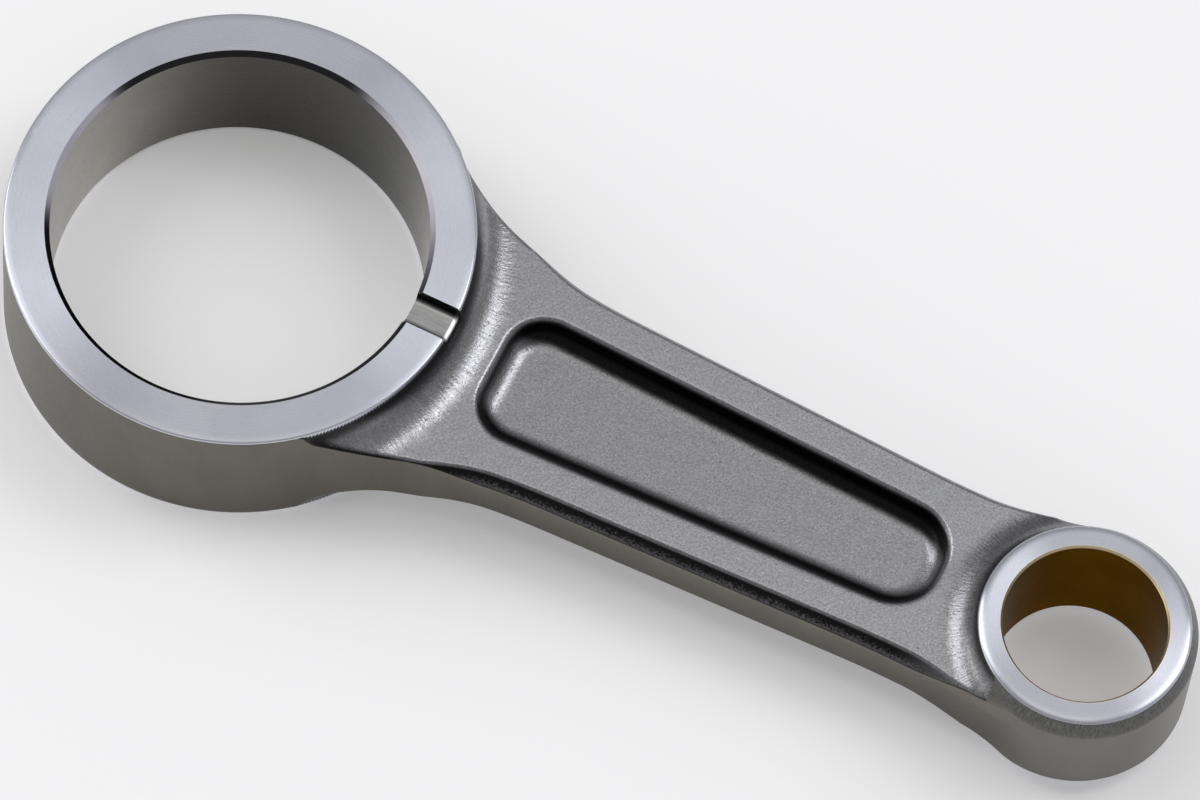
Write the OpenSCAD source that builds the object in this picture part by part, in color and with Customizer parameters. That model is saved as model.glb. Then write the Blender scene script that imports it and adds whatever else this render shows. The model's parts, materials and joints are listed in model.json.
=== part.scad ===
// Connecting rod of a single-cylinder four-stroke engine with a built-up crankshaft.
// One forged steel piece, with a bronze-lined bush pressed into its small end.
// Frame: origin at the centre of the big-end bore, +X towards the small end,
// +Z along the bores. The rod is symmetric about the plane z = 0.
// All lengths in millimetres.

/* [Main] */
// Distance between the two bore axes
centre_distance = 108; // [104:1:114]

/* [Big end] */
// Diameter of the big-end bore, the outer track of the crank-pin rollers
big_bore_d = 44; // [42:0.5:45]
// Outer diameter of the big-end ring
big_outer_d = 54.8; // [53.5:0.1:56]
// Width of the big end between its ground thrust faces
big_width = 20.2; // [19:0.1:21]
// Chamfer at each mouth of the big-end bore
big_bore_chamfer = 0.6; // [0.3:0.1:0.8]
// Small bevel around the outside of the big-end faces
big_edge_bevel = 0.3; // [0.1:0.1:0.5]
// Radius of the hollow that runs from the big-end ring down to the beam
big_blend_r = 5.1; // [5:0.1:5.6]

/* [Oil slots] */
// Width of the oil slot across each big-end face, on the beam side
slot_width = 4; // [3:0.1:4.6]
// Depth of the oil slot
slot_depth = 1.4; // [0.8:0.1:1.8]
// Radius in the bottom corners of the oil slot
slot_corner_r = 0.9; // [0.4:0.1:1.2]

/* [Small end] */
// Diameter of the bore of the pressed-in bush, where the gudgeon pin turns
pin_bore_d = 19; // [18:0.5:19.5]
// Outer diameter of the bush
bush_outer_d = 21.4; // [21.2:0.1:21.8]
// Chamfer at each mouth of the bush
bush_chamfer = 0.3; // [0.2:0.05:0.4]
// Width of the small end between its faces
small_width = 17.6; // [17:0.1:18]
// Diameter of the small-end faces
small_face_d = 24.6; // [24.2:0.1:25]
// Diameter of the small end at its middle band
small_outer_d = 26.4; // [26:0.1:27]
// Width of the straight middle band around the small end
small_band = 13; // [11:0.5:14]
// Radius of the hollow that runs from the small-end face down to the beam
small_blend_r = 3.9; // [3.85:0.05:4.2]

/* [Beam] */
// Thickness of the beam over its flanges
beam_thickness = 10; // [9:0.1:10.4]
// Half width of the beam at its side walls, 49 mm from the big-end axis
beam_half_width = 13; // [12.5:0.1:13.5]
// Narrowing of each side for every millimetre towards the small end
beam_taper = 0.036; // [0.03:0.001:0.04]
// How far the drafted flange edge stands inside the side wall
flange_inset = 1.05; // [0.6:0.05:1.2]
// Height of the drafted flange edge for every millimetre of its inset
flange_draft = 2.0; // [1.6:0.1:2.2]

/* [Pocket] */
// Depth of the pocket on each side of the beam
pocket_depth = 2.7; // [2.2:0.1:3]
// Where the pocket starts, measured from the big-end axis
pocket_start = 32.6; // [32.4:0.1:34]
// Where the pocket ends, measured from the big-end axis
pocket_end = 90.5; // [88:0.1:91]
// Half width of the pocket, 44 mm from the big-end axis
pocket_half_width = 8.2; // [7.8:0.1:8.5]
// Corner radius of the pocket at its big-end side
pocket_r1 = 5.3; // [4.8:0.1:5.8]
// Corner radius of the pocket at its small-end side
pocket_r2 = 6.1; // [5.6:0.1:6.2]
// Radius between the pocket floor and its walls
pocket_floor_r = 2.4; // [1.6:0.1:2.4]
// How far the pocket wall leans out over its full height
pocket_lean = 0.7; // [0.4:0.1:0.8]

/* [Hidden] */
$fn = 96;

big_r = big_outer_d / 2;
big_h = big_width / 2;
small_h = small_width / 2;
beam_h = beam_thickness / 2;
cut = 1;

// 0 below a, 1 above b, with a smooth change between them
function smooth(a, b, x) =
    let (t = min(1, max(0, (x - a) / (b - a)))) t * t * (3 - 2 * t);

// Half width of the side wall at distance x from the big-end axis:
// a straight taper, a flare to the big end and a shorter one to the small end
function flare_big(x) = x < 46 ? 4.1 * pow((46 - x) / 23, 2.4) : 0;
function flare_small(x) = x > 83 ? 2.25 * pow((x - 83) / 25, 2) : 0;
function wall_y(x) =
    let (u = x * 108 / centre_distance)
    beam_half_width - beam_taper * (u - 49) + flare_big(u) + flare_small(u);

// Inset of the flange edge from the side wall. It fades out at both ends,
// where the line of the draft leaves the metal.
function inset_y(x) =
    let (u = x * 108 / centre_distance)
    -0.35 + (flange_inset + 0.35) * smooth(25, 39, u) * (1 - smooth(89, 101, u));

// Stations along the beam, from inside one ring to inside the other
beam_x0 = 16.8;
beam_x1 = centre_distance - 3;
beam_n = 56;
function station(i) = beam_x0 + (beam_x1 - beam_x0) * i / beam_n;

// Outline of the side walls, the trim line of the forging
module side_outline() {
    up = [for (i = [0 : beam_n]) [station(i), wall_y(station(i))]];
    down = [for (i = [beam_n : -1 : 0]) [station(i), -wall_y(station(i))]];
    polygon(concat([[5, 18]], up, [[centre_distance, 11]],
                   [[centre_distance, -11]], down, [[5, -18]]));
}

// What is cut away above one flange edge to leave its draft: a wedge that
// follows the side wall and runs out of the metal at both ends
module draft_cutter() {
    run = [for (i = [0 : beam_n]) if (station(i) * 108 / centre_distance > 26
        && station(i) * 108 / centre_distance < 100) station(i)];
    n = len(run) - 1;
    out = 0.7;
    up = 0.5;
    function wedge(x) =
        let (f = wall_y(x) - inset_y(x), w = wall_y(x) + out, e = w - f)
        [[x, f - up / flange_draft, beam_h + up], [x, w, beam_h + up],
         [x, w, beam_h - flange_draft * e]];
    pts = [for (x = run) each wedge(x)];
    sides = [for (i = [0 : n - 1], k = [0 : 2])
        [i * 3 + k, (i + 1) * 3 + k, (i + 1) * 3 + (k + 1) % 3, i * 3 + (k + 1) % 3]];
    polyhedron(points = pts, faces = concat(sides, [[2, 1, 0], [n * 3, n * 3 + 1, n * 3 + 2]]),
               convexity = 4);
}

// Big-end ring with its bevelled outer edges
module big_ring() {
    b = big_edge_bevel;
    rotate_extrude() polygon([[0, -big_h], [big_r - b, -big_h], [big_r, -big_h + b],
        [big_r, big_h - b], [big_r - b, big_h], [0, big_h]]);
}

// Small-end boss: flat faces, cones down to a straight middle band
module small_boss() {
    rotate_extrude() polygon([[0, -small_h], [small_face_d / 2, -small_h],
        [small_outer_d / 2, -small_band / 2], [small_outer_d / 2, small_band / 2],
        [small_face_d / 2, small_h], [0, small_h]]);
}

// Ring of metal in the corner between an end of radius r and half height h
// and the flange, with a hollow of radius q, above and below
module corner_blend(r, h, q) {
    steps = 9;
    top = min(h - 0.05, beam_h + q - 0.02);
    a1 = acos((beam_h + q - top) / q);
    function arc_pt(a) = [r + q * sin(a1) - q * sin(a), beam_h + q - q * cos(a)];
    half = [for (i = [1 : steps]) arc_pt(a1 * i / steps)];
    foot = [r + q * sin(a1) + 0.6, beam_h - 0.25];
    for (s = [0, 1]) mirror([0, 0, s]) rotate_extrude()
        polygon(concat([[r - 3, top], [r - 3, beam_h - 2], [foot[0], beam_h - 2], foot], half));
}

// Pocket outline at an inset d and height z: four arcs on fixed centres
function arc_points(cx, cy, r, a0, a1, z, n = 9) =
    [for (i = [0 : n]) let (a = a0 + (a1 - a0) * i / n) [cx + r * cos(a), cy + r * sin(a), z]];
function pocket_ring(d, z) =
    let (k = centre_distance / 108,
         c1x = pocket_start + pocket_r1,
         c1y = pocket_half_width - beam_taper * (c1x - 44) - pocket_r1,
         c2x = pocket_end * k - pocket_r2,
         c2y = pocket_half_width - beam_taper * (c2x / k - 44) - pocket_r2,
         r1 = pocket_r1 - d,
         r2 = pocket_r2 - d)
    concat(arc_points(c2x, -c2y, r2, -88, 0, z), arc_points(c2x, c2y, r2, 0, 88, z),
           arc_points(c1x, c1y, r1, 88, 180, z), arc_points(c1x, -c1y, r1, 180, 272, z));

// Solid that is cut away for the pocket on the +Z side
module pocket() {
    steps = 5;
    zf = beam_h - pocket_depth;
    lean = pocket_lean / (pocket_depth - pocket_floor_r + 0.6);
    levels = concat([[-lean * (cut + 0.1), beam_h + cut]],
        [for (i = [0 : steps]) let (a = 84 * (1 - i / steps))
            [pocket_lean + pocket_floor_r * (1 - sin(a)), zf + pocket_floor_r * (1 - cos(a))]]);
    rings = [for (l = levels) pocket_ring(l[0], l[1])];
    n = len(rings[0]);
    m = len(rings);
    pts = [for (r = rings) each r];
    sides = [for (j = [0 : m - 2], k = [0 : n - 1])
        [j * n + k, (j + 1) * n + k, (j + 1) * n + (k + 1) % n, j * n + (k + 1) % n]];
    caps = [[for (k = [n - 1 : -1 : 0]) k], [for (k = [0 : n - 1]) (m - 1) * n + k]];
    polyhedron(points = pts, faces = concat(sides, caps), convexity = 4);
}

// Oil slot across the +Z face of the big end, open to the bore and to the beam side
module oil_slot() {
    w = slot_width / 2;
    r = slot_corner_r;
    z0 = big_h - slot_depth;
    prof = concat([[w, big_h + cut], [-w, big_h + cut]],
        [for (i = [0 : 5]) let (a = 180 + 90 * i / 5) [-w + r + r * cos(a), z0 + r + r * sin(a)]],
        [for (i = [0 : 5]) let (a = 270 + 90 * i / 5) [w - r + r * cos(a), z0 + r + r * sin(a)]]);
    translate([big_bore_d / 2 - 3, 0, 0]) rotate([90, 0, 90])
        linear_extrude(height = 12) polygon(prof);
}

// Through bore of radius r with a chamfer c at both faces of a half height h
module bore(r, h, c) {
    rotate_extrude() polygon([[0, -h - cut], [r + c + cut, -h - cut], [r, -h + c],
        [r, h - c], [r + c + cut, h + cut], [0, h + cut]]);
}

module rod_forging() {
    color([0.62, 0.62, 0.66])
    difference() {
        union() {
            big_ring();
            translate([centre_distance, 0, 0]) small_boss();
            intersection() {
                union() {
                    cube([2 * centre_distance + 10, 60, beam_thickness], center = true);
                    corner_blend(big_r - big_edge_bevel, big_h, big_blend_r);
                    translate([centre_distance, 0, 0])
                        corner_blend(small_face_d / 2, small_h, small_blend_r);
                }
                linear_extrude(height = big_width + 2, center = true) side_outline();
            }
        }
        for (s = [0, 1], t = [0, 1]) mirror([0, 0, s]) mirror([0, t, 0]) draft_cutter();
        for (s = [0, 1]) mirror([0, 0, s]) {
            pocket();
            oil_slot();
        }
        bore(big_bore_d / 2, big_h, big_bore_chamfer);
        translate([centre_distance, 0, 0])
            cylinder(r = bush_outer_d / 2, h = small_width + 4, center = true);
    }
}

// Bush: a pressed-in sleeve, flush with both small-end faces
module small_end_bush() {
    color([0.72, 0.55, 0.24])
    translate([centre_distance, 0, 0])
    difference() {
        cylinder(r = bush_outer_d / 2, h = small_width, center = true);
        bore(pin_bore_d / 2, small_h, bush_chamfer);
    }
}

rod_forging();
small_end_bush();
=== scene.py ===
import json
import math

import bpy
import numpy as np
from mathutils import Matrix, Vector, geometry, noise


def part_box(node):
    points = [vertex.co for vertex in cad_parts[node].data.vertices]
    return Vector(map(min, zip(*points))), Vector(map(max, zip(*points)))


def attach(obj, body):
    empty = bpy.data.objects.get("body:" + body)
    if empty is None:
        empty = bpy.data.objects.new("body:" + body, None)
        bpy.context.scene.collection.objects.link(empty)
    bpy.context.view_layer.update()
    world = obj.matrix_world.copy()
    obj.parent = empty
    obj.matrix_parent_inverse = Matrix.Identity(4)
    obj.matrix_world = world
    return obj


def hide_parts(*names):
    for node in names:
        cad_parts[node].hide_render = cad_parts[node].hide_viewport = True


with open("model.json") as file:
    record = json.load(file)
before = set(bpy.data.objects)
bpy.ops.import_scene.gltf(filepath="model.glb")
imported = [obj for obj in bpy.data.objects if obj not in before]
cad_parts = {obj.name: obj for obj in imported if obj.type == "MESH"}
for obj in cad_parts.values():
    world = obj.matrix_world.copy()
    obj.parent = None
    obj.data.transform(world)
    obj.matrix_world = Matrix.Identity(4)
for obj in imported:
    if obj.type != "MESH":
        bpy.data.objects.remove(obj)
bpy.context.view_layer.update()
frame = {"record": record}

# ---------------------------------------------------------------- dimensions, mm
mounts = {m["name"]: m for m in frame["record"]["mounts"]}
L = mounts["small_end_bore"]["pos_m"][0] * 1000.0      # centre distance
RB = mounts["big_end_bore"]["dims"]["r_mm"]            # big-end bore
RP = mounts["small_end_bore"]["dims"]["r_mm"]          # bore of the bush
HB = mounts["big_end_face_top"]["pos_m"][2] * 1000.0   # half width of the big end
HS = mounts["small_end_face_top"]["pos_m"][2] * 1000.0  # half width of the small end
bush_lo, bush_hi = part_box("small_end_bush")
RU = (bush_hi[0] - bush_lo[0]) * 500.0                 # outer radius of the bush
rod_lo, rod_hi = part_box("rod_forging")
RO = -rod_lo[0] * 1000.0                               # outer radius of the big end
RS = rod_hi[0] * 1000.0 - L                            # outer radius of the small end
BH = 5.0                                               # half thickness over the flanges
CH = 0.6                                               # chamfer of the big-end bore
BEV = 0.3                                              # bevel around the big-end faces
RF = 12.3                                              # radius of the small-end faces
ROUND, ROUND_R = 0.35, 1.1                             # rounding of the small-end faces: drop and width
ZB = 6.5                                               # height of the small end's middle band
Q1, Q2 = 4.9, 3.9                                      # hollows at the big and the small end
SLOT_W, SLOT_Z, SLOT_R = 2.0, HB - 1.4, 0.9            # oil slot: half width, floor, corner
SLOT_IN, SLOT_END = 0.62, 0.95                         # start and radius of its rounded outer end
DRAFT = 2.0
PZ = 2.3                                               # height of the pocket floor


# ---------------------------------------------------------------- finishes
PEEN_DARK, PEEN_MID, PEEN_LIGHT, PEEN_ROUGH = (0.29, 0.29, 0.30), (0.36, 0.36, 0.372), (0.45, 0.45, 0.465), 0.30
SHADE_LOW, SHADE_SIDE = 0.11, 0.05
GROUND_DARK, GROUND_LIGHT, GROUND_ROUGH, GROUND_ANISO = (0.57, 0.58, 0.64), (0.63, 0.64, 0.70), 0.28, 0.88
WALL_DARK, WALL_LIGHT, WALL_ROUGH = (0.105, 0.096, 0.074), (0.132, 0.122, 0.097), 0.36
BORE_DARK, BORE_LIGHT, BORE_ROUGH = (0.145, 0.138, 0.122), (0.185, 0.176, 0.158), 0.28
SLOT_DARK, SLOT_LIGHT = (0.32, 0.32, 0.31), (0.44, 0.44, 0.43)
CHAMFER_DARK, CHAMFER_LIGHT = (0.68, 0.66, 0.74), (0.78, 0.76, 0.84)
# BRONZE_DARK and BRONZE_LIGHT: painted shade of the lining inside the bore; BRONZE_EDGE: its end band, partly a
# painted highlight
BRONZE_DARK, BRONZE_LIGHT, BRONZE_EDGE = (0.122, 0.058, 0.005), (0.165, 0.083, 0.010), (0.95, 0.80, 0.52)
# FLANK_DARK and FLANK_LIGHT: painted shade under the small-end face; FLANK_LOW to FLANK_HIGH: heights in mm over which
# it comes in
FLANK_DARK, FLANK_LIGHT, FLANK_LOW, FLANK_HIGH = (0.055, 0.055, 0.052), (0.17, 0.17, 0.165), 4.6, 7.9
BOSS_DARK, BOSS_LIGHT = (0.128, 0.121, 0.106), (0.160, 0.152, 0.134)


def smooth(a, b, x):
    t = np.clip((np.asarray(x, float) - a) / (b - a), 0.0, 1.0)
    return t * t * (3.0 - 2.0 * t)


def smax(a, b, k):
    h = np.maximum(k - np.abs(a - b), 0.0) / k
    return np.maximum(a, b) + h * h * k * 0.25


def smin(a, b, k):
    return -smax(-a, -b, k)


# ---------------------------------------------------------------- plan outline
X_JOIN = L - 3.8


def wall_y(x):
    x = np.asarray(x, float)
    big = 4.1 * (np.maximum(46.0 - x, 0.0) / 23.0) ** 2.4
    small = 2.25 * (np.maximum(x - 83.0, 0.0) / 25.0) ** 2
    return 13.0 - 0.036 * (x - 49.0) + big + small


def wall_limited(x):
    x = np.asarray(x, float)
    over = np.maximum(x - X_JOIN, 0.0)
    return wall_y(np.minimum(x, X_JOIN)) + 0.08 * over - 1.2 * over ** 2


def inset_y(x):
    return -0.35 + 1.40 * smooth(25, 39, x) * (1 - smooth(91, 104, x))


def half_circle(x, cx, r):
    return np.sqrt(np.maximum(r * r - (np.asarray(x, float) - cx) ** 2, 0.0))


def y_out(x):
    a = smax(half_circle(x, 0, RO), wall_limited(x), 0.2)
    return smax(a, half_circle(x, L, RS), 0.22)


# ---------------------------------------------------------------- pocket
P_C1, P_R1 = np.array([32.6 + 5.3, 8.2 - 0.036 * (37.9 - 44) - 5.3]), 5.3
P_C2, P_R2 = np.array([90.5 - 6.1, 8.2 - 0.036 * (84.4 - 44) - 6.1]), 6.1
_phi = np.radians(np.arange(0, 360, 1.0))
_n = np.stack([np.cos(_phi), np.sin(_phi)], 1)
_sup = np.max(np.stack([
    _n @ P_C1 + P_R1, _n @ (P_C1 * [1, -1]) + P_R1,
    _n @ P_C2 + P_R2, _n @ (P_C2 * [1, -1]) + P_R2], 1), axis=1)


def pocket_depth(x, y):
    """Signed distance inside the pocket's outline, positive inside."""
    p = np.stack([x, y], 1)
    out = np.empty(len(p))
    for i in range(0, len(p), 8000):
        out[i:i + 8000] = np.min(_sup[None, :] - p[i:i + 8000] @ _n.T, axis=1)
    return out


P_LEAN, P_FR = 0.55, 2.55          # lean of the wall, radius at the floor
RIM = 0.28                         # rounding of the rim


def pocket_z(d):
    """Height of the pocket surface at an inset d from its outline."""
    full = P_LEAN + P_FR
    t = np.clip((full - d) / P_FR, 0.0, 0.985)
    arc = PZ + P_FR * (1 - np.sqrt(1 - t * t)) * 0.98
    d0 = full - 0.985 * P_FR
    z0 = PZ + P_FR * (1 - math.sqrt(1 - 0.985 ** 2)) * 0.98
    wall = z0 + (d0 - d) * (BH - z0) / d0
    return np.where(d < d0, wall, arc)


def pocket_ring(d, step):
    """Half (y >= 0) of the pocket outline at an inset d, from the big-end side."""
    r1, r2 = P_R1 - d, P_R2 - d
    c1, c2 = P_C1, P_C2
    dx, dy = c2 - c1
    tang = math.pi / 2 + math.atan2(dy, dx) + math.asin((r1 - r2) / math.hypot(dx, dy)) * -1
    tang = math.acos(np.clip((r1 - r2) / math.hypot(dx, dy), -1, 1)) + math.atan2(dy, dx)
    pts = []
    n0 = max(2, round(c1[1] / step))
    pts += [(c1[0] - r1, c1[1] * i / n0) for i in range(n0)]
    n1 = max(8, round((math.pi - tang) * P_R1 / step))
    pts += [(c1[0] + r1 * math.cos(a), c1[1] + r1 * math.sin(a))
            for a in np.linspace(math.pi, tang, n1 + 1)[:-1]]
    a0 = np.array([c1[0] + r1 * math.cos(tang), c1[1] + r1 * math.sin(tang)])
    a1 = np.array([c2[0] + r2 * math.cos(tang), c2[1] + r2 * math.sin(tang)])
    n2 = max(8, round(np.linalg.norm(a1 - a0) / step))
    pts += [tuple(a0 + (a1 - a0) * i / n2) for i in range(n2)]
    n3 = max(8, round(tang * P_R2 / step))
    pts += [(c2[0] + r2 * math.cos(a), c2[1] + r2 * math.sin(a))
            for a in np.linspace(tang, 0, n3 + 1)]
    n4 = max(1, round(c2[1] / step))
    pts = [(px, py) for px, py in pts]
    end = pts[-1]
    pts += [(end[0], end[1] * (1 - i / n4)) for i in range(1, n4 + 1)]
    return np.array(pts)


# ---------------------------------------------------------------- height of the upper surface
ZC1 = BH + Q1
RC1 = RO + math.sqrt(Q1 ** 2 - (ZC1 - (HB - BEV)) ** 2)
ZC2 = BH + Q2
RC2 = RF + math.sqrt(Q2 ** 2 - (ZC2 - (HS - ROUND)) ** 2)


def hollow(r, rc, zc, q):
    t = np.clip(rc - r, 0.0, q)
    return np.maximum(zc - np.sqrt(np.maximum(q * q - t * t, 0.0)), BH)


def slot_z(y):
    y = np.abs(y)
    t = np.clip(y - (SLOT_W - SLOT_R), 0.0, SLOT_R)
    arc = SLOT_Z + SLOT_R - np.sqrt(np.maximum(SLOT_R ** 2 - t * t, 0.0))
    up = np.clip((y - (SLOT_W - 0.004)) / 0.03, 0.0, 1.0)
    z = arc + up * (HB - 0.08 - (SLOT_Z + SLOT_R))
    lip = np.clip((y - (SLOT_W + 0.026)) / 0.09, 0.0, 1.0)
    z = z + lip * 0.08
    return np.where(y > SLOT_W + 0.116, 99.0, z)


def slot_end(r):
    """Drop of the slot floor towards its rounded outer end."""
    t = np.clip(r - (RO - SLOT_IN), 0.0, 0.985 * SLOT_END)
    return SLOT_END - np.sqrt(SLOT_END ** 2 - t * t)


def height(x, y):
    x, y = np.asarray(x, float), np.abs(np.asarray(y, float))
    r1, r2 = np.hypot(x, y), np.hypot(x - L, y)
    # big end
    t = np.clip((r1 - (RO - BEV)) / BEV, 0.0, 1.0)
    zb = np.where(r1 <= RO + 1e-6, HB - BEV * (1 - np.sqrt(1 - (0.995 * t) ** 2)) / (1 - math.sqrt(1 - 0.995 ** 2)), hollow(r1, RC1, ZC1, Q1))
    # the drop beside the ring grows with the width of metal outside it
    w = smooth(0.02, 0.40, y_out(x) - half_circle(x, 0, RO))
    zb = np.where(r1 > RO + 1e-6, HB - BEV - (HB - BEV - zb) * w, zb)
    sl = slot_z(y) - slot_end(r1) * (y < SLOT_W - 0.002)
    cut = np.where(r1 > RO - 0.6, smin(zb, sl, 0.10 * smooth(RO - 0.6, RO - 0.1, r1) + 1e-4), np.minimum(zb, sl))
    zb = np.where((r1 < RC1) & (x > 0) & (sl < 50), cut, zb)
    zb = np.where(r1 < RB + CH, np.minimum(zb, HB - CH + (r1 - RB)), zb)
    # small end
    t = np.clip((r2 - (RF - ROUND_R)) / ROUND_R, 0.0, 1.0)
    zs = HS - ROUND * (0.75 * t ** 3 + 0.25 * t ** 12)
    cone = HS - ROUND - (r2 - RF) * (HS - ROUND - ZB) / (RS - RF)
    fil = hollow(r2, RC2, ZC2, Q2)
    ang = np.degrees(np.arctan2(y, x - L))
    side = cone + (fil - cone) * smooth(92, 128, ang)
    zs = np.where(r2 <= RF, zs, side)
    z = np.where(x < 60, zb, zs)
    # draft of the flange edges
    lift = 8.0 * (1 - smooth(22, 30, x)) + 6.0 * smooth(98, 105, x)
    zd = BH + DRAFT * (wall_y(x) - inset_y(x) - y) + lift
    z = np.where((r1 > RO) & (r2 > RF), smin(z, zd, 0.35), z)
    # rounded edge
    m = ((x > 15) & (x < 33)) | ((x > 97.5) & (x < 106))
    if m.any():
        slope = np.gradient(y_out(np.array([x[m] - 0.01, x[m] + 0.01])), 0.02, axis=0)[0]
        z = z.copy()
        z[m] -= edge_round(x[m], (y_out(x[m]) - y[m]) / np.sqrt(1 + slope ** 2)) * smooth(RO + 0.02, RO + 0.5, r1[m])
    # pocket
    m = (x > 30) & (x < 93) & (y < 11)
    if m.any():
        d = pocket_depth(x[m], y[m])
        zp = pocket_z(d)
        zz = z[m]
        z = z.copy()
        z[m] = smin(zz, zp, RIM)
    return z


# ---------------------------------------------------------------- points and lines of one quarter
pts, lines = [], []


def add_line(p, link=True, closed=False):
    p = np.asarray(p, float)
    base = len(pts)
    pts.extend(map(tuple, p))
    if link:
        lines.extend((base + i, base + i + 1) for i in range(len(p) - 1))
    return base


STEP = 0.42

# outline
th = np.linspace(math.pi, math.acos(14.0 / RO), int(RO * (math.pi - math.acos(14.0 / RO)) / STEP))
outline = [(RO * math.cos(a), RO * math.sin(a)) for a in th[:-1]]
outline[0] = (-RO, 0.0)
xs, x = [14.0], 14.0
while x < 104.9:
    s = float(y_out(x + 0.01) - y_out(x - 0.01)) / 0.02
    x += STEP / math.hypot(1, s)
    xs.append(min(x, 105.2))
outline += [(v, float(y_out(v))) for v in xs]
a_end = math.acos((xs[-1] - L) / RS)
na = int(RS * a_end / STEP)
outline += [(L + RS * math.cos(a), RS * math.sin(a)) for a in np.linspace(a_end, 0, na + 1)[1:]]
outline[-1] = (L + RS, 0.0)
outline = np.array(outline)
add_line(outline)
# lines that follow the outline a little inside it, for the rounded edge and the draft
nrm = np.gradient(outline, axis=0)
nrm = np.stack([nrm[:, 1], -nrm[:, 0]], 1)
nrm /= np.linalg.norm(nrm, axis=1)[:, None]
nrm[0], nrm[-1] = (1, 0), (-1, 0)


EDGE_R = 0.55                                          # rounding of the beam's edge next to both ends


def edge_round(x, d):
    """Drop of the upper edge at a distance d from the outline."""
    rho = EDGE_R * ((1 - smooth(29, 33, x)) * smooth(15, 19, x) + smooth(97.5, 100, x) * (1 - smooth(103, 106, x)))
    rho = np.maximum(rho, 1e-6)
    t = np.clip(rho - d, 0.0, rho * 0.985)
    return rho - np.sqrt(rho * rho - t * t)


def inside_domain(p, margin):
    x, y = p[:, 0], p[:, 1]
    ok = (y >= 0) & (np.hypot(x, y) > RB + margin) & (np.hypot(x - L, y) > RU + margin)
    lim = np.where(x < 14, half_circle(x, 0, RO), np.where(x > 105.2, half_circle(x, L, RS), y_out(x)))
    ok &= y < lim - margin
    ok &= (np.hypot(x, y) < RO - margin) | (x > 14)
    ok &= (np.hypot(x - L, y) < RS - margin) | (x < 105)
    return ok


def big_angles(r):
    ys = [0, 0.37, 0.74, 1.1, 1.34, 1.56, 1.75, 1.89, 1.97, SLOT_W - 0.004, SLOT_W + 0.026, SLOT_W + 0.116]
    a = [math.asin(v / r) for v in ys]
    n = int(math.pi * RO / (STEP * 1.05))
    rest = np.linspace(a[-1], math.pi, n)[1:]
    # closer together just after the slot, so that the angles grow evenly
    return np.concatenate([a, rest])


def polar(cx, r, angles):
    p = np.stack([cx + r * np.cos(angles), r * np.sin(angles)], 1)
    p[np.abs(p[:, 1]) < 1e-9, 1] = 0.0
    return p


for r in (RB, RB + CH, RB + 1.4, RB + 2.6, RB + 3.8, RO - 1.0, RO - BEV, RO - 0.19, RO - 0.10, RO - 0.04):
    add_line(polar(0, r, big_angles(r)))
for r in (RO - 0.85, RO - 0.70, RO - 0.55, RO - 0.42):
    add_line(polar(0, r, big_angles(r)[:12]))


def clipped(p, margin):
    """Adds the runs of p that lie inside the domain."""
    ok = inside_domain(p, margin)
    run = []
    for q, k in zip(p, ok):
        if k:
            run.append(q)
        else:
            if len(run) > 1:
                add_line(run)
            run = []
    if len(run) > 1:
        add_line(run)


a_ro = big_angles(RO)
p = polar(0, RO, a_ro)
clipped(p[p[:, 0] > 14.2], 0.02)
for k in range(1, 17):
    a = math.radians(88.0) * (1 - k / 16.0)
    r = RC1 - Q1 * math.sin(a)
    if r < RO + 0.03:
        continue
    clipped(polar(0, r, big_angles(r))[: len(a_ro) // 2 + 12], 0.08)

# small end
n_small = int(math.pi * RS / (STEP * 0.8))
a_s = np.linspace(0, math.pi, n_small)
for r in (RU, RU + 0.25, RF - ROUND_R, RF - 0.85, RF - 0.62, RF - 0.44, RF - 0.30, RF - 0.19, RF - 0.11, RF - 0.05, RF - 0.015, RF):
    add_line(polar(L, r, a_s))
for k in range(1, 14):
    a = math.radians(88.0) * (1 - k / 13.0)
    r = RC2 - Q2 * math.sin(a)
    if r < RF + 0.03:
        continue
    clipped(polar(L, r, a_s), 0.10)

# pocket
for d in (-0.30, -0.15, -0.05, 0.05, 0.16, 0.28, 0.40, 0.52, 0.62, 0.74, 0.90, 1.10, 1.34, 1.62, 1.94, 2.30, 2.70, 3.10):
    add_line(pocket_ring(d, STEP))

# lines beside the outline, where its edge is rounded
for d in (0.07, 0.17, 0.30, 0.45, 0.62, 0.85):
    p = outline + nrm * d
    for a, b in ((15.0, 33.2), (97.2, 105.8)):
        q = p[(p[:, 0] > a) & (p[:, 0] < b)]
        clipped(q[(q[:, 1] > 5) & (np.hypot(q[:, 0], q[:, 1]) > RO + 0.05)], d * 0.6)

# flange edge: lines at fixed distances from the top of the draft to the side wall
xs = np.arange(33.4, 97.0, STEP * 0.95)
for k in (-0.35, -0.15, 0.0, 0.12, 0.28, 0.5, 0.75, 0.9):
    f = wall_y(xs) - inset_y(xs)
    w = y_out(xs)
    yv = f + k * (w - f) if k > 0 else f + k
    p = np.stack([xs, yv], 1)
    keep = (w - f) > 0.22
    for run in np.split(p[keep], np.where(np.diff(xs[keep]) > STEP * 1.5)[0] + 1):
        if len(run) > 1:
            q = run[inside_domain(run, 0.05)]
            if len(q) > 1:
                add_line(q)

# fill: a staggered grid, kept away from the lines
grid = []
row = 0
y = STEP * 0.5
dx, dy = STEP, STEP * 0.866
while y < 28:
    gx = np.arange(-28, L + 14, dx) + (0.5 * dx if row % 2 else 0.0)
    grid.append(np.stack([gx, np.full_like(gx, y)], 1))
    y += dy
    row += 1
grid = np.concatenate(grid)
r1, r2 = np.hypot(grid[:, 0], grid[:, 1]), np.hypot(grid[:, 0] - L, grid[:, 1])
keep = inside_domain(grid, STEP * 0.45) & (r1 > RC1 - 0.4) & (r2 > RF + 0.2)
grid = grid[keep]
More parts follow.
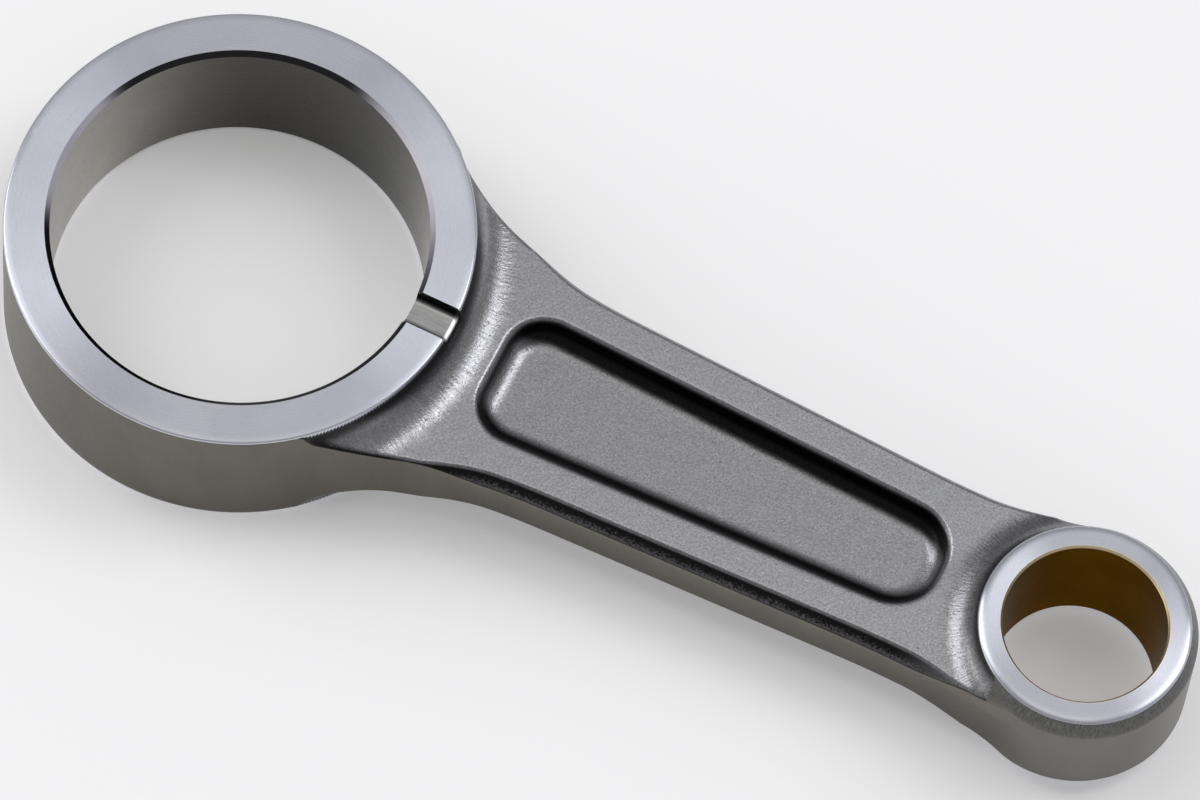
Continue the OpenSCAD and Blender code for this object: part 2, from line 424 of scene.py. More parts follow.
# distance to the nearest line point, by cells
cell = STEP * 0.55
buckets = {}
P = np.array(pts)
for q in P:
    buckets.setdefault((int(math.floor(q[0] / cell)), int(math.floor(q[1] / cell))), []).append(q)
good = []
for g in grid:
    cx, cy = int(math.floor(g[0] / cell)), int(math.floor(g[1] / cell))
    near = False
    for ix in (cx - 1, cx, cx + 1):
        for iy in (cy - 1, cy, cy + 1):
            for q in buckets.get((ix, iy), ()):
                if (q[0] - g[0]) ** 2 + (q[1] - g[1]) ** 2 < cell * cell:
                    near = True
                    break
            if near:
                break
        if near:
            break
    if not near:
        good.append(tuple(g))
pts.extend(good)

# the edge on the symmetry line y = 0
pts[:] = [(round(q[0], 6), 0.0) if abs(q[1]) < 1e-7 else q for q in pts]
axis_x = {q[0] for q in pts if q[1] == 0.0}
P = sorted(axis_x)


def axis_run(a, b):
    own = [v for v in P if a - 1e-6 <= v <= b + 1e-6]
    out = []
    for u, v in zip(own[:-1], own[1:]):
        n = max(1, round((v - u) / STEP))
        out += [u + (v - u) * i / n for i in range(n)]
    out.append(own[-1])
    add_line([(v, 0.0) for v in out])


axis_run(-RO, -RB)
axis_run(RB, L - RU)
axis_run(L + RU, L + RS)

vin = [Vector(q) for q in pts]
out = geometry.delaunay_2d_cdt(vin, lines, [], 0, 2e-3)
v2 = np.array([(v.x, v.y) for v in out[0]])
f2 = np.array([list(f) for f in out[2] if len(f) == 3], dtype=np.int64)
c = v2[f2].mean(axis=1)
area = 0.5 * np.abs(np.cross(v2[f2[:, 1]] - v2[f2[:, 0]], v2[f2[:, 2]] - v2[f2[:, 0]]))
lim = np.where(c[:, 0] < 14, half_circle(c[:, 0], 0, RO), np.where(c[:, 0] > 105.2, half_circle(c[:, 0], L, RS), y_out(c[:, 0])))
# a triangle belongs to the metal if its centre is inside the outline's own polygon and outside both bores


def in_polygon(p, poly):
    x, y = p[:, 0], p[:, 1]
    inside = np.zeros(len(p), bool)
    x0, y0 = poly[:, 0], poly[:, 1]
    x1, y1 = np.roll(x0, -1), np.roll(y0, -1)
    for i in range(len(poly)):
        if y0[i] == y1[i]:
            continue
        hit = ((y0[i] > y) != (y1[i] > y)) & (x < (x1[i] - x0[i]) * (y - y0[i]) / (y1[i] - y0[i]) + x0[i])
        inside ^= hit
    return inside


poly = np.concatenate([outline, outline[::-1] * [1, -1]])
bore_b = polar(0, RB, big_angles(RB))
bore_b = np.concatenate([bore_b, bore_b[::-1] * [1, -1]])
bore_s = polar(L, RU, a_s)
bore_s = np.concatenate([bore_s, bore_s[::-1] * [1, -1]])
ok = in_polygon(c, poly) & ~in_polygon(c, bore_b) & ~in_polygon(c, bore_s) & (c[:, 1] > 0)
f2 = f2[ok]
print("quarter:", len(v2), "points,", len(f2), "triangles")

# ---------------------------------------------------------------- whole forging from the quarter
used = np.unique(f2)
remap = -np.ones(len(v2), np.int64)
remap[used] = np.arange(len(used))
v2, f2 = v2[used], remap[f2]
e1, e2 = v2[f2[:, 1]] - v2[f2[:, 0]], v2[f2[:, 2]] - v2[f2[:, 0]]
flip = (e1[:, 0] * e2[:, 1] - e1[:, 1] * e2[:, 0]) < 0
f2[flip] = f2[flip][:, ::-1]
v2[np.abs(v2[:, 1]) < 1e-5, 1] = 0.0
z = height(v2[:, 0], v2[:, 1])
top_half = np.column_stack([v2, z])
on_axis = v2[:, 1] == 0.0
n = len(v2)
mirror_id = np.where(on_axis, np.arange(n), -1)
mirror_id[~on_axis] = n + np.arange((~on_axis).sum())
top = np.concatenate([top_half, top_half[~on_axis] * [1, -1, 1]])
faces_top = np.concatenate([f2, mirror_id[f2][:, ::-1]])
nt = len(top)
bottom = top * [1, 1, -1]
faces_bottom = faces_top[:, ::-1] + nt
verts = np.concatenate([top, bottom])

# side walls and bores: every open edge of the top goes down to its mirror in the bottom
edges = np.concatenate([faces_top[:, [0, 1]], faces_top[:, [1, 2]], faces_top[:, [2, 0]]])
key = edges.min(1) * (nt + 1) + edges.max(1)
_, first, count = np.unique(key, return_index=True, return_counts=True)
open_edges = edges[first[count == 1]]
ROWS = 11
col = {}
extra = []
nxt = 2 * nt
for v in np.unique(open_edges):
    ids = [int(v)]
    for k in range(1, ROWS):
        # rows sit closer together near the two edges
        s = 0.5 - 0.5 * math.cos(math.pi * k / ROWS)
        extra.append((verts[v, 0], verts[v, 1], verts[v, 2] * (1 - 2 * s)))
        ids.append(nxt)
        nxt += 1
    ids.append(int(v) + nt)
    col[int(v)] = ids
verts = np.concatenate([verts, np.array(extra)])
quads = []
for a, b in open_edges:
    ca, cb = col[int(a)], col[int(b)]
    for k in range(ROWS):
        quads.append((cb[k], ca[k], ca[k + 1], cb[k + 1]))
faces = [tuple(f) for f in faces_top] + [tuple(f) for f in faces_bottom] + quads
n_surface = len(faces_top) * 2

# ---------------------------------------------------------------- small unevenness of the forged skin
def forged(v):
    """1 where the surface is left as forged and shot-peened, 0 where it was machined."""
    x, y, z = v[:, 0], np.abs(v[:, 1]), np.abs(v[:, 2])
    r1, r2 = np.hypot(x, y), np.hypot(x - L, y)
    m = smooth(RO + 0.1, RO + 1.2, r1) * smooth(RF + 0.1, RF + 0.6, r2)
    return m


nv = 2 * nt
amp = forged(verts[:nv])
off = np.zeros(nv)
for i in np.where(amp > 0)[0]:
    p = Vector(verts[i])
    off[i] = amp[i] * (0.014 * noise.noise(p * 0.5) + 0.008 * noise.noise(p * 1.9))
on_edge = np.zeros(nv, bool)
on_edge[np.unique(open_edges)] = True
on_edge[np.unique(open_edges) + nt] = True
off[on_edge] = 0.0
verts[:nv, 2] += off * np.sign(verts[:nv, 2])

mesh = bpy.data.meshes.new("rod_forging_skin")
mesh.from_pydata((verts * 0.001).tolist(), [], faces)
mesh.validate()
mesh.update()
rod = bpy.data.objects.new("rod_forging_skin", mesh)
bpy.context.scene.collection.objects.link(rod)
mesh.polygons.foreach_set("use_smooth", [True] * len(mesh.polygons))
mesh.set_sharp_from_angle(angle=math.radians(32))

# faces of each finish: 0 forged, 1 ground faces, 2 ground side walls, 3 bores
centres = np.empty(len(mesh.polygons) * 3)
mesh.polygons.foreach_get("center", centres)
centres = centres.reshape(-1, 3) * 1000
x, y, z = centres[:, 0], np.abs(centres[:, 1]), np.abs(centres[:, 2])
r1, r2 = np.hypot(x, y), np.hypot(x - L, y)
index = np.zeros(len(mesh.polygons), np.int32)
index[:n_surface][(r1[:n_surface] < RO + 0.02)] = 1
index[:n_surface][(r2[:n_surface] < RF - 0.02)] = 1
index[n_surface:] = 2
flank_side = (x > L - 6.5) & (r2 > RF + 0.02)
index[flank_side] = 4
index[n_surface:][(r1[n_surface:] < RB + 0.3)] = 3
index[n_surface:][(r2[n_surface:] < RU + 0.3)] = 3
index[:n_surface][(r1[:n_surface] < RB + CH - 0.02)] = 5
slot_faces = (x > 0) & (y < SLOT_W + 0.12) & (r1 < RO + 0.32) & (z > SLOT_Z - 0.75) & (np.arange(len(z)) < n_surface)
index[slot_faces] = 6
mesh.polygons.foreach_set("material_index", index)
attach(rod, "root")
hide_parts("rod_forging")


# ---------------------------------------------------------------- bush
def lathe(name, profile, n=220):
    """A closed ring turned about the small-end axis from an (r, z) profile in mm."""
    m = len(profile)
    vv, ff = [], []
    for i in range(n):
        a = 2 * math.pi * i / n
        vv += [((L + r * math.cos(a)) * 0.001, r * math.sin(a) * 0.001, h * 0.001) for r, h in profile]
    for i in range(n):
        j = (i + 1) % n
        for k in range(m):
            q = (k + 1) % m
            ff.append((i * m + k, j * m + k, j * m + q, i * m + q))
    me = bpy.data.meshes.new(name)
    me.from_pydata(vv, [], ff)
    me.update()
    o = bpy.data.objects.new(name, me)
    bpy.context.scene.collection.objects.link(o)
    me.polygons.foreach_set("use_smooth", [True] * len(me.polygons))
    me.set_sharp_from_angle(angle=math.radians(32))
    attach(o, "root")
    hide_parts("small_end_bush")
    return o


LIN = 0.26                                     # thickness of the bronze lining
rows = np.linspace(-(HS - 0.3), HS - 0.3, 13)
lining = lathe("bush_lining", [(RP, h) for h in rows[::-1]] + [(RP + 0.05, -(HS - 0.25)), (RP + LIN - 0.03, -HS + 0.01), (RP + LIN, -HS + 0.01),
               (RP + LIN, HS - 0.01), (RP + LIN - 0.03, HS - 0.01), (RP + 0.05, HS - 0.25)])
backing = lathe("bush_backing", [(RP + LIN, HS), (RP + LIN, -HS), (RU, -HS), (RU, HS)])


# ---------------------------------------------------------------- materials
def new_material(name):
    mat = bpy.data.materials.new(name)
    mat.use_nodes = True
    tree = mat.node_tree
    tree.nodes.clear()
    end = tree.nodes.new("ShaderNodeOutputMaterial")
    bsdf = tree.nodes.new("ShaderNodeBsdfPrincipled")
    tree.links.new(bsdf.outputs[0], end.inputs[0])
    coord = tree.nodes.new("ShaderNodeTexCoord")
    return mat, tree, bsdf, coord


def ramp(tree, fac, stops):
    r = tree.nodes.new("ShaderNodeValToRGB")
    cr = r.color_ramp
    cr.elements[0].position, cr.elements[0].color = stops[0][0], (*stops[0][1], 1)
    cr.elements[1].position, cr.elements[1].color = stops[-1][0], (*stops[-1][1], 1)
    for pos, colr in stops[1:-1]:
        cr.elements.new(pos).color = (*colr, 1)
    tree.links.new(fac, r.inputs[0])
    return r.outputs[0]


def grey(v):
    return (v, v, v)


def noise_tex(tree, vec, scale, detail=3.0, rough=0.55):
    t = tree.nodes.new("ShaderNodeTexNoise")
    t.inputs["Scale"].default_value = scale
    t.inputs["Detail"].default_value = detail
    t.inputs["Roughness"].default_value = rough
    tree.links.new(vec, t.inputs["Vector"])
    return t.outputs[0]


def mapping(tree, vec, scale=(1, 1, 1), rot=(0, 0, 0), loc=(0, 0, 0)):
    m = tree.nodes.new("ShaderNodeMapping")
    m.inputs["Scale"].default_value = scale
    m.inputs["Rotation"].default_value = rot
    m.inputs["Location"].default_value = loc
    tree.links.new(vec, m.inputs["Vector"])
    return m.outputs[0]


def calc(tree, op, a, b=None, c=None, clamp=False):
    m = tree.nodes.new("ShaderNodeMath")
    m.operation = op
    m.use_clamp = clamp
    for i, v in enumerate((a, b, c)):
        if v is None:
            continue
        if isinstance(v, (int, float)):
            m.inputs[i].default_value = v
        else:
            tree.links.new(v, m.inputs[i])
    return m.outputs[0]


def fit(tree, v, a, b, c, d):
    """v from a..b to c..d, smoothly."""
    m = tree.nodes.new("ShaderNodeMapRange")
    m.interpolation_type = "SMOOTHSTEP"
    tree.links.new(v, m.inputs["Value"])
    for k, q in zip(("From Min", "From Max", "To Min", "To Max"), (a, b, c, d)):
        m.inputs[k].default_value = q
    return m.outputs["Result"]


def times(tree, colr, v):
    """Colour times a value."""
    m = tree.nodes.new("ShaderNodeVectorMath")
    m.operation = "SCALE"
    tree.links.new(colr, m.inputs[0])
    tree.links.new(v, m.inputs["Scale"])
    return m.outputs[0]


def mix(tree, fac, a, b):
    m = tree.nodes.new("ShaderNodeMix")
    m.data_type = "RGBA"
    tree.links.new(fac, m.inputs[0])
    for sock, v in ((m.inputs[6], a), (m.inputs[7], b)):
        if isinstance(v, tuple):
            sock.default_value = (*v, 1)
        else:
            tree.links.new(v, sock)
    return m.outputs[2]


def split(tree, vec):
    n = tree.nodes.new("ShaderNodeSeparateXYZ")
    tree.links.new(vec, n.inputs[0])
    return n.outputs


def join(tree, *parts):
    n = tree.nodes.new("ShaderNodeCombineXYZ")
    for i, v in enumerate(parts):
        if isinstance(v, (int, float)):
            n.inputs[i].default_value = v
        else:
            tree.links.new(v, n.inputs[i])
    return n.outputs[0]


def bump(tree, h, strength, distance, normal=None):
    b = tree.nodes.new("ShaderNodeBump")
    b.inputs["Strength"].default_value = strength
    b.inputs["Distance"].default_value = distance
    tree.links.new(h, b.inputs["Height"])
    if normal is not None:
        tree.links.new(normal, b.inputs["Normal"])
    return b.outputs[0]


def around(tree, obj):
    """x from the nearer bore's axis, y, z, and the direction away from that axis, across the grinding marks."""
    x, y, z = split(tree, obj)
    small = calc(tree, "GREATER_THAN", x, 0.06)
    xc = calc(tree, "SUBTRACT", x, calc(tree, "MULTIPLY", small, L * 0.001))
    return xc, y, z, join(tree, xc, y, 0.0)


def grain(tree, obj):
    """Relief of shot peening: fine overlapping dimples with a few deeper pits."""
    fine = noise_tex(tree, obj, 6500, 2, 0.5)
    mid = noise_tex(tree, obj, 3400, 2, 0.5)
    v = tree.nodes.new("ShaderNodeTexVoronoi")
    v.inputs["Scale"].default_value = 3600
    tree.links.new(obj, v.inputs["Vector"])
    pits = fit(tree, noise_tex(tree, mapping(tree, obj, loc=(3.1, 1.7, 0.4)), 3000, 2, 0.5), 0.64, 0.74, 0.0, -1.0)
    h = calc(tree, "ADD", calc(tree, "MULTIPLY", fine, 0.55), calc(tree, "MULTIPLY", mid, 0.65))
    h = calc(tree, "ADD", h, calc(tree, "MULTIPLY", v.outputs["Distance"], 0.35))
    return calc(tree, "ADD", h, pits), fine, mid, pits


# shot-peened forging skin; painted shade: steep surfaces and surfaces turned towards ±y are painted darker
peened, t, b, co = new_material("peened_steel")
obj = co.outputs["Object"]
h, fine, mid, pits = grain(t, obj)
nz = calc(t, "ABSOLUTE", split(t, co.outputs["Normal"])[2])
ny = calc(t, "ABSOLUTE", split(t, co.outputs["Normal"])[1])
zabs = calc(t, "ABSOLUTE", split(t, obj)[2])
xc, yy, zz, lay = around(t, obj)
rad = calc(t, "SQRT", calc(t, "ADD", calc(t, "MULTIPLY", xc, xc), calc(t, "MULTIPLY", yy, yy)))
near_big = calc(t, "LESS_THAN", split(t, obj)[0], 0.06)
ring_in = calc(t, "MULTIPLY", near_big, fit(t, rad, 0.0315, 0.0335, 1.0, 0.0))
ring_in = calc(t, "ADD", ring_in, calc(t, "MULTIPLY", calc(t, "SUBTRACT", 1.0, near_big), fit(t, rad, 0.0158, 0.0172, 1.0, 0.0)))
free = calc(t, "SUBTRACT", 1.0, ring_in)
rim = fit(t, zabs, 0.00455, 0.00488, 1.0, 0.30)
# painted shade: surfaces turned towards ±y are painted darker, less so at the top of the rim; on the draft band this
# fades out downwards and towards the small end
side = calc(t, "ADD", calc(t, "MULTIPLY", fit(t, ny, 0.40, 0.80, 0.0, 1.0), ring_in), calc(t, "MULTIPLY", calc(t, "MULTIPLY", fit(t, ny, 0.0, 0.50, 0.0, 1.0), free), rim))
out_y = fit(t, calc(t, "ABSOLUTE", yy), 0.0096, 0.0099, 0.0, 1.0)
speck = calc(t, "ADD", zabs, calc(t, "MULTIPLY", calc(t, "SUBTRACT", mid, 0.5), 0.0030))
fade = calc(t, "MULTIPLY", fit(t, speck, 0.0028, 0.0040, 0.70, 0.0), out_y)
side = calc(t, "MULTIPLY", side, calc(t, "SUBTRACT", 1.0, fade))
side = calc(t, "MULTIPLY", side, fit(t, split(t, obj)[0], 0.089, 0.0995, 1.0, 0.16))
shade = calc(t, "MULTIPLY", fit(t, nz, 0.25, 0.80, SHADE_LOW, 1.0), calc(t, "SUBTRACT", 1.0, calc(t, "MULTIPLY", side, 1.0 - SHADE_SIDE)))
theta = calc(t, "ARCTAN2", yy, xc)
marks = noise_tex(t, join(t, calc(t, "MULTIPLY", theta, 75), calc(t, "MULTIPLY", rad, 330), 0.0), 1.0, 3, 0.6)
streaked = calc(t, "MULTIPLY", ring_in, calc(t, "MAXIMUM", fit(t, rad, 0.0283, 0.0302, 0.25, 1.0), calc(t, "SUBTRACT", 1.0, near_big)))
h = calc(t, "ADD", h, calc(t, "MULTIPLY", calc(t, "MULTIPLY", marks, streaked), 2.0))
colr = ramp(t, mid, [(0.30, PEEN_DARK), (0.5, PEEN_MID), (0.72, PEEN_LIGHT)])
colr = times(t, colr, shade)
# painted shade: darker low down, towards the pocket floor
colr = times(t, colr, fit(t, zabs, 0.0024, 0.0044, 0.88, 1.0))
# painted shade: the small end's fillet is painted darker on its +y side
small_in = calc(t, "MULTIPLY", calc(t, "SUBTRACT", 1.0, near_big), fit(t, rad, 0.0152, 0.0172, 1.0, 0.0))
colr = times(t, colr, calc(t, "SUBTRACT", 1.0, calc(t, "MULTIPLY", small_in, fit(t, yy, -0.003, 0.004, 0.0, 0.42))))
colr = times(t, colr, fit(t, pits, -0.9, 0.0, 0.62, 1.0))
colr = times(t, colr, calc(t, "ADD", 1.0, calc(t, "MULTIPLY", calc(t, "SUBTRACT", marks, 0.5), calc(t, "MULTIPLY", streaked, 1.05))))
t.links.new(colr, b.inputs["Base Color"])
b.inputs["Metallic"].default_value = 1.0
t.links.new(ramp(t, fine, [(0.35, grey(PEEN_ROUGH - 0.04)), (0.65, grey(PEEN_ROUGH + 0.04))]), b.inputs["Roughness"])
t.links.new(bump(t, h, 0.42, 0.00005), b.inputs["Normal"])

# ground thrust faces, with the fine lay of grinding around each bore
ground, t, b, co = new_material("ground_steel")
obj = co.outputs["Object"]
xc, yy, zz, lay = around(t, obj)
rad = calc(t, "SQRT", calc(t, "ADD", calc(t, "MULTIPLY", xc, xc), calc(t, "MULTIPLY", yy, yy)))
turned = noise_tex(t, join(t, calc(t, "MULTIPLY", rad, 7000), calc(t, "MULTIPLY", zz, 900), calc(t, "MULTIPLY", calc(t, "ARCTAN2", yy, xc), 2.2)), 1.0, 3, 0.6)
cloud = noise_tex(t, obj, 110, 3, 0.5)
colr = ramp(t, cloud, [(0.3, GROUND_DARK), (0.7, GROUND_LIGHT)])
t.links.new(colr, b.inputs["Base Color"])
b.inputs["Metallic"].default_value = 1.0
t.links.new(ramp(t, turned, [(0.3, grey(GROUND_ROUGH - 0.015)), (0.7, grey(GROUND_ROUGH + 0.015))]), b.inputs["Roughness"])
b.inputs["Anisotropic"].default_value = GROUND_ANISO
t.links.new(lay, b.inputs["Tangent"])
t.links.new(bump(t, turned, 0.016, 0.00002), b.inputs["Normal"])

# side walls; painted light and shade: lighter just under the top edge and darker towards the bottom, beyond about 30
# mm from the big-end axis
wall, t, b, co = new_material("side_wall_steel")
obj = co.outputs["Object"]
fine = noise_tex(t, mapping(t, obj, (3600, 3600, 900)), 1.0, 3, 0.6)
cloud = noise_tex(t, mapping(t, obj, (150, 150, 70)), 1.0, 3, 0.5)
colr = ramp(t, cloud, [(0.3, WALL_DARK), (0.7, WALL_LIGHT)])
wx, wy, wz = split(t, obj)
shade_jitter = noise_tex(t, mapping(t, obj, (900, 900, 420)), 1.0, 3, 0.65)
wz_up = calc(t, "ADD", wz, calc(t, "MULTIPLY", calc(t, "SUBTRACT", shade_jitter, 0.5), 0.0020))
down = calc(t, "SUBTRACT", calc(t, "ADD", fit(t, wz_up, -0.0036, 0.0030, 0.64, 0.98), fit(t, wz_up, 0.0018, 0.0031, 0.0, 0.28)), 1.0)
colr = times(t, colr, calc(t, "ADD", 1.0, calc(t, "MULTIPLY", down, fit(t, wx, 0.028, 0.040, 0.0, 1.0))))
t.links.new(colr, b.inputs["Base Color"])
b.inputs["Metallic"].default_value = 1.0
t.links.new(ramp(t, fine, [(0.3, grey(WALL_ROUGH - 0.03)), (0.7, grey(WALL_ROUGH + 0.03))]), b.inputs["Roughness"])
t.links.new(bump(t, fine, 0.06, 0.00003), b.inputs["Normal"])

# honed bore; painted light and shade: lighter where the wall faces ±x, darker where it faces ±y
bore, t, b, co = new_material("bore_steel")
obj = co.outputs["Object"]
xc, yy, zz, lay = around(t, obj)
fine = noise_tex(t, mapping(t, obj, (300, 300, 4200)), 1.0, 3, 0.6)
cloud = noise_tex(t, obj, 60, 2, 0.5)
colr = ramp(t, cloud, [(0.3, BORE_DARK), (0.7, BORE_LIGHT)])
ny = calc(t, "ABSOLUTE", split(t, co.outputs["Normal"])[1])
t.links.new(times(t, colr, fit(t, ny, 0.15, 1.0, 2.35, 0.27)), b.inputs["Base Color"])
b.inputs["Metallic"].default_value = 1.0
t.links.new(ramp(t, fine, [(0.3, grey(BORE_ROUGH - 0.03)), (0.7, grey(BORE_ROUGH + 0.03))]), b.inputs["Roughness"])
t.links.new(bump(t, fine, 0.03, 0.00002), b.inputs["Normal"])

# bronze lining; painted shade: dark inside the bore, with the end band pale gold, partly the bronze's own colour and
# partly a painted highlight all around the rim
bronze, t, b, co = new_material("bronze_lining")
obj = co.outputs["Object"]
fine = noise_tex(t, mapping(t, obj, (300, 300, 3000)), 1.0, 3, 0.6)
cloud = noise_tex(t, obj, 130, 3, 0.5)
edge = fit(t, calc(t, "ABSOLUTE", split(t, obj)[2]), (HS - 0.34) * 0.001, (HS - 0.24) * 0.001, 0.0, 1.0)
colr = ramp(t, cloud, [(0.3, BRONZE_DARK), (0.7, BRONZE_LIGHT)])
colr = mix(t, edge, colr, BRONZE_EDGE)
t.links.new(colr, b.inputs["Base Color"])
b.inputs["Metallic"].default_value = 1.0
b.inputs["Specular Tint"].default_value = (0.56, 0.50, 0.45, 1.0)
t.links.new(ramp(t, fine, [(0.3, grey(0.30)), (0.7, grey(0.40))]), b.inputs["Roughness"])
t.links.new(bump(t, fine, 0.05, 0.00003), b.inputs["Normal"])

# sides of the small end: painted shade, dark just under the face, and where they join the beam's side wall the same
# painted light and shade as that wall, running out into the smooth wall; peened relief under the face
flank, t, b, co = new_material("boss_side_steel")
obj = co.outputs["Object"]
xc, yy, zz, lay = around(t, obj)
h, fine, mid, pits = grain(t, obj)
rake = noise_tex(t, join(t, calc(t, "MULTIPLY", calc(t, "ARCTAN2", yy, xc), 48), calc(t, "MULTIPLY", zz, 1100), 0.0), 1.0, 4, 0.7)
down = calc(t, "ADD", calc(t, "ABSOLUTE", zz), calc(t, "MULTIPLY", calc(t, "SUBTRACT", rake, 0.5), 0.0028))
dark = fit(t, down, FLANK_LOW * 0.001, FLANK_HIGH * 0.001, 0.0, 1.0)
cloud = noise_tex(t, mapping(t, obj, (150, 150, 70)), 1.0, 3, 0.5)
base = mix(t, fit(t, split(t, obj)[0], 0.1015, 0.108, 0.0, 1.0), ramp(t, cloud, [(0.3, WALL_DARK), (0.7, WALL_LIGHT)]), ramp(t, cloud, [(0.3, BOSS_DARK), (0.7, BOSS_LIGHT)]))
shade_jitter = noise_tex(t, mapping(t, obj, (900, 900, 420)), 1.0, 3, 0.65)
wz_up = calc(t, "ADD", zz, calc(t, "MULTIPLY", calc(t, "SUBTRACT", shade_jitter, 0.5), 0.0020))
low = calc(t, "SUBTRACT", calc(t, "ADD", fit(t, wz_up, -0.0036, 0.0030, 0.64, 0.98), fit(t, wz_up, 0.0018, 0.0031, 0.0, 0.28)), 1.0)
base = times(t, base, calc(t, "ADD", 1.0, calc(t, "MULTIPLY", low, fit(t, split(t, obj)[0], 0.1015, 0.110, 1.0, 0.0))))
top_ = ramp(t, rake, [(0.3, FLANK_DARK), (0.7, FLANK_LIGHT)])
t.links.new(mix(t, dark, base, top_), b.inputs["Base Color"])
b.inputs["Metallic"].default_value = 1.0
b.inputs["Roughness"].default_value = WALL_ROUGH
t.links.new(bump(t, calc(t, "MULTIPLY", h, dark), 0.30, 0.00005), b.inputs["Normal"])

# milled oil slots; painted shade on the walls, a painted highlight on the rounded outer end and painted shade just
# beyond it
slot_mat, t, b, co = new_material("slot_steel")
obj = co.outputs["Object"]
fine = noise_tex(t, mapping(t, obj, (500, 4200, 500)), 1.0, 3, 0.6)
ny = calc(t, "ABSOLUTE", split(t, co.outputs["Normal"])[1])
colr = times(t, ramp(t, fine, [(0.3, SLOT_DARK), (0.7, SLOT_LIGHT)]), fit(t, ny, 0.12, 0.75, 1.0, 0.05))
sx, sy, sz = split(t, obj)
out_r = calc(t, "SQRT", calc(t, "ADD", calc(t, "MULTIPLY", sx, sx), calc(t, "MULTIPLY", sy, sy)))
colr = times(t, colr, fit(t, out_r, (RO - 0.62) * 0.001, (RO - 0.30) * 0.001, 1.0, 2.0))
colr = times(t, colr, fit(t, out_r, (RO - 0.10) * 0.001, (RO + 0.06) * 0.001, 1.0, 0.06))
t.links.new(colr, b.inputs["Base Color"])
b.inputs["Metallic"].default_value = 1.0
t.links.new(ramp(t, fine, [(0.3, grey(0.30)), (0.7, grey(0.38))]), b.inputs["Roughness"])
t.links.new(bump(t, fine, 0.08, 0.00003), b.inputs["Normal"])

# chamfer of the big-end bore; painted highlight and painted shade, set by the direction the surface faces
chamfer, t, b, co = new_material("chamfer_steel")
obj = co.outputs["Object"]
cloud = noise_tex(t, obj, 200, 3, 0.5)
nx, ny, nz = split(t, co.outputs["Normal"])
zone = calc(t, "MULTIPLY", fit(t, nx, -0.30, -0.05, 1.0, 0.0), fit(t, ny, -0.42, 0.0, 0.85, 0.30))
zone = calc(t, "MAXIMUM", zone, calc(t, "MULTIPLY", fit(t, calc(t, "ABSOLUTE", ny), 0.16, 0.36, 1.0, 0.0), fit(t, nx, -0.1, 0.1, 0.0, 1.0)))
t.links.new(times(t, ramp(t, cloud, [(0.3, CHAMFER_DARK), (0.7, CHAMFER_LIGHT)]), fit(t, zone, 0.0, 1.0, 0.05, 1.0)), b.inputs["Base Color"])
b.inputs["Specular Tint"].default_value = (0.5, 0.5, 0.5, 1.0)
b.inputs["Metallic"].default_value = 1.0
t.links.new(calc(t, "ADD", fit(t, zone, 0.0, 1.0, 0.22, 0.46), calc(t, "MULTIPLY", noise_tex(t, obj, 2500, 2), 0.06)), b.inputs["Roughness"])

for m in (peened, ground, wall, bore, flank, chamfer, slot_mat):
    rod.data.materials.append(m)
lining.data.materials.append(bronze)
backing.data.materials.append(ground)

# ---------------------------------------------------------------- floor, light, camera
floor_mesh = bpy.data.meshes.new("floor")
S = 3.0
floor_mesh.from_pydata([(-S, -S, 0), (S, -S, 0), (S, S, 0), (-S, S, 0)], [], [(0, 1, 2, 3)])
floor = bpy.data.objects.new("floor", floor_mesh)
floor.location = (0, 0, rod_lo[2] - 0.00002)
bpy.context.scene.collection.objects.link(floor)
fm, t, b, co = new_material("pale_floor")
b.inputs["Base Color"].default_value = (0.9, 0.9, 0.9, 1)
b.inputs["Roughness"].default_value = 0.9
b.inputs["Emission Color"].default_value = (1.0, 1.0, 1.0, 1)
b.inputs["Emission Strength"].default_value = 0.20
floor.data.materials.append(fm)


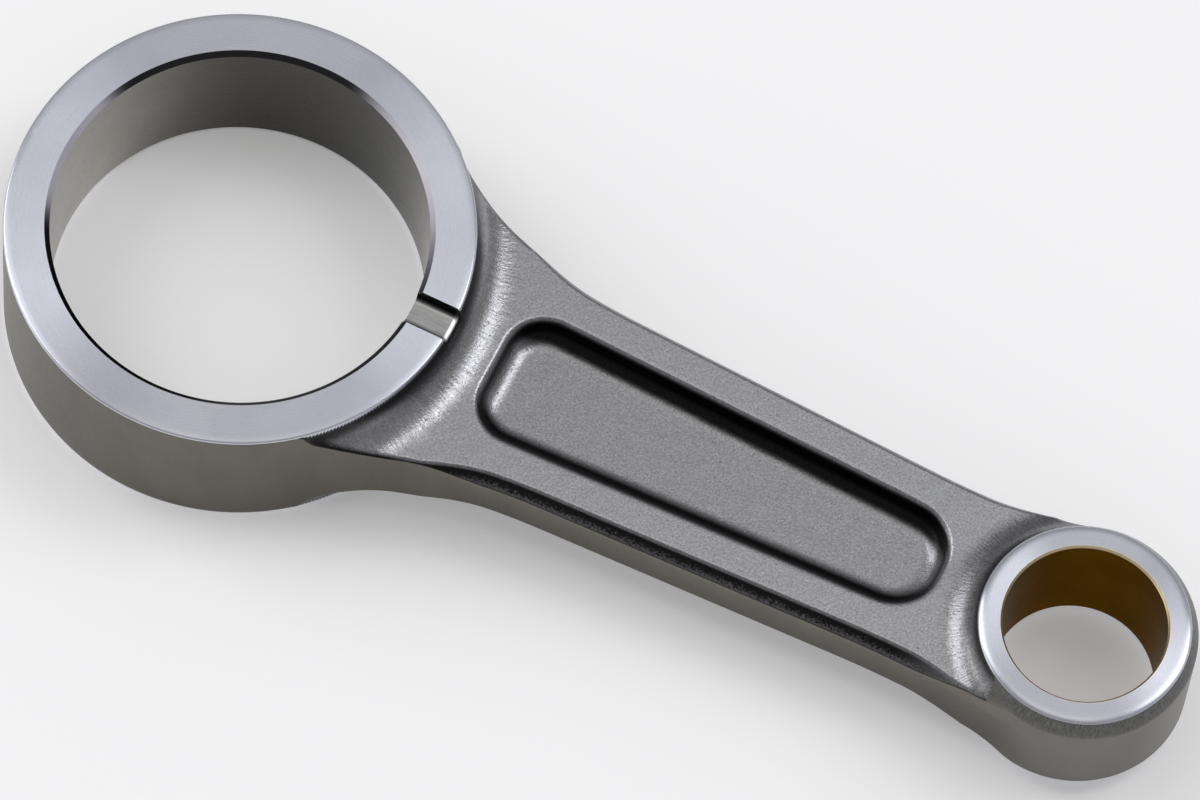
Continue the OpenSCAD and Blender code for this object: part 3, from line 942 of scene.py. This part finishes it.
def area(name, loc, aim, size, power, colour=(1, 1, 1), size_y=None):
    d = bpy.data.lights.new(name, "AREA")
    d.energy, d.color = power, colour
    d.shape = "RECTANGLE" if size_y else "SQUARE"
    d.size = size
    if size_y:
        d.size_y = size_y
    o = bpy.data.objects.new(name, d)
    bpy.context.scene.collection.objects.link(o)
    o.location = loc
    o.rotation_mode = "QUATERNION"
    o.rotation_quaternion = (Vector(aim) - Vector(loc)).to_track_quat("-Z", "Y")
    o.visible_camera = False
    return o


C = Vector((0.05, 0.0, 0.0))


def panel(name, az, el, dist, width, tall, radiance, colour=(1, 1, 1)):
    """A soft panel that faces the part, at an azimuth from +X and an elevation, in degrees."""
    a, e = math.radians(az), math.radians(el)
    d = Vector((math.cos(e) * math.cos(a), math.cos(e) * math.sin(a), math.sin(e)))
    return area(name, C + d * dist, C, width, radiance * math.pi * width * tall, colour, tall)


panel("right", 42, 55, 1.6, 0.60, 1.00, 2.8, (0.99, 0.995, 1.03))
panel("left", 177, 47, 1.6, 0.75, 1.35, 2.28, (0.99, 0.995, 1.04))
panel("low_left", 205, 14, 1.6, 0.80, 0.50, 1.5, (1.04, 1.0, 0.95))
panel("top_back", 90, 70, 1.6, 0.80, 0.55, 0.53, (0.99, 1.0, 1.03))
panel("overhead", 270, 88, 1.6, 0.80, 0.50, 0.95, (1.05, 1.0, 0.9))

world = bpy.data.worlds.new("studio")
bpy.context.scene.world = world
world.use_nodes = True
world.node_tree.nodes["Background"].inputs[0].default_value = (1.0, 1.0, 1.02, 1)
world.node_tree.nodes["Background"].inputs[1].default_value = 0.36

cam_data = bpy.data.cameras.new("camera")
cam_data.lens, cam_data.sensor_width = 306.5355, 36.0
cam_data.clip_start, cam_data.clip_end = 0.05, 20
cam = bpy.data.objects.new("camera", cam_data)
bpy.context.scene.collection.objects.link(cam)
right = Vector((0.89815086, 0.4371409, 0.04725322))
up = Vector((-0.41722826, 0.81342881, 0.40528281))
back = Vector((0.13872856, -0.38372048, 0.91296932))
m = Matrix((right, up, back)).transposed().to_4x4()
m.translation = Vector((0.20933555, -0.45082945, 1.08097041))
cam.matrix_world = m
bpy.context.scene.camera = cam
bpy.context.scene.view_settings.view_transform = "Standard"
bpy.context.scene.view_settings.look = "None"
